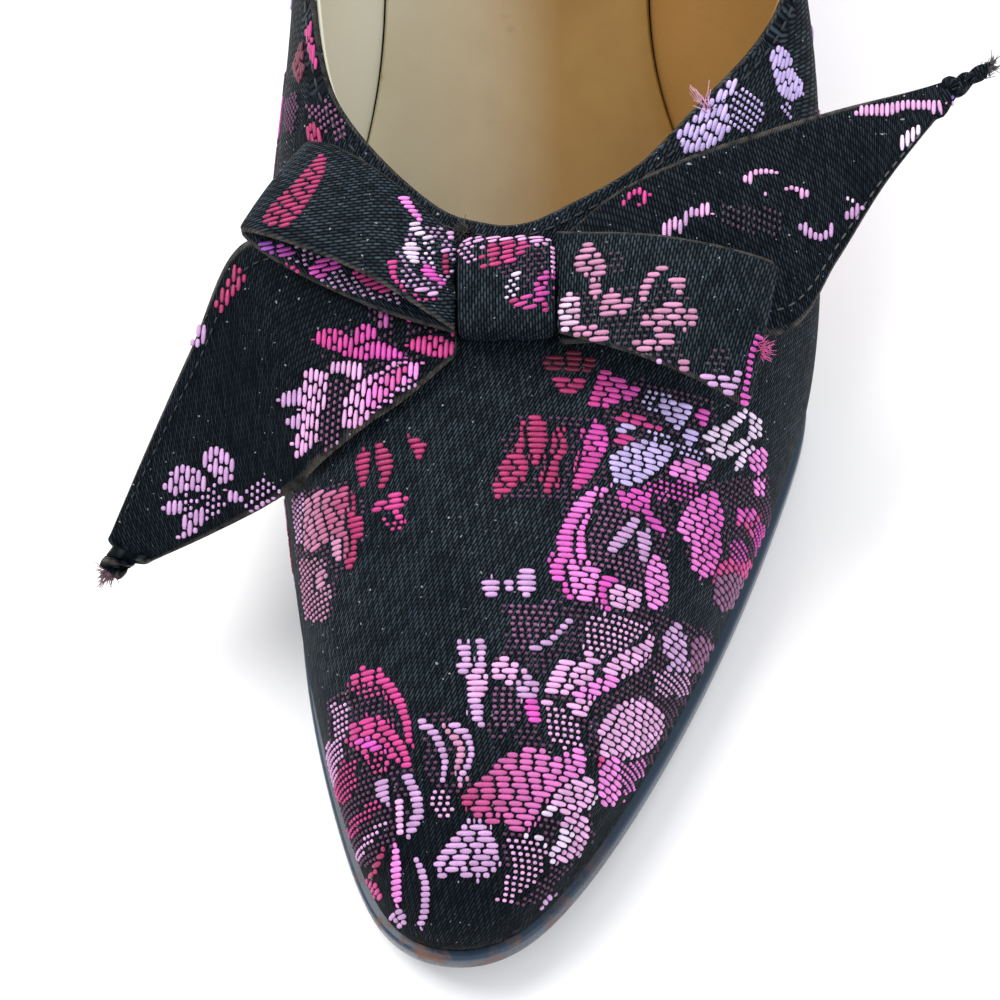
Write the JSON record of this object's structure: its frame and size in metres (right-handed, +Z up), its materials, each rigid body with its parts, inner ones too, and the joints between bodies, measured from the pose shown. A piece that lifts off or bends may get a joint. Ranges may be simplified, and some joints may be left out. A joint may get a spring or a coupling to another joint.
{
  "type": "womens brocade pump, left",
  "caption": "Low-cut women's court shoe in floral brocade with a pointed toe, covered mid-height heel, leather sole and a flat self-fabric bow on the throat.",
  "frame": {"origin": "on the floor, in the middle of the flat tread under the ball of the foot", "axes": "+X to the outer (little toe) side of this left shoe, +Y from toe to heel, +Z up"},
  "size_m": [0.1264, 0.239, 0.1174],
  "materials": {
    "brocade": "satin ground with raised floral floats",
    "sole_leather": "black painted edge, worn at the toe",
    "sock_leather": "smooth gold beige",
    "lift_rubber": "matt"
  },
  "bodies": {
    "root": {"outsole": "sole_leather", "heel": "brocade", "top_lift": "lift_rubber", "insole": "sock_leather", "upper": "brocade", "bow_knot": "brocade", "bow_loop_medial": "brocade", "bow_loop_lateral": "brocade", "bow_tail_medial": "brocade", "bow_tail_lateral": "brocade"}
  },
  "joints": []
}
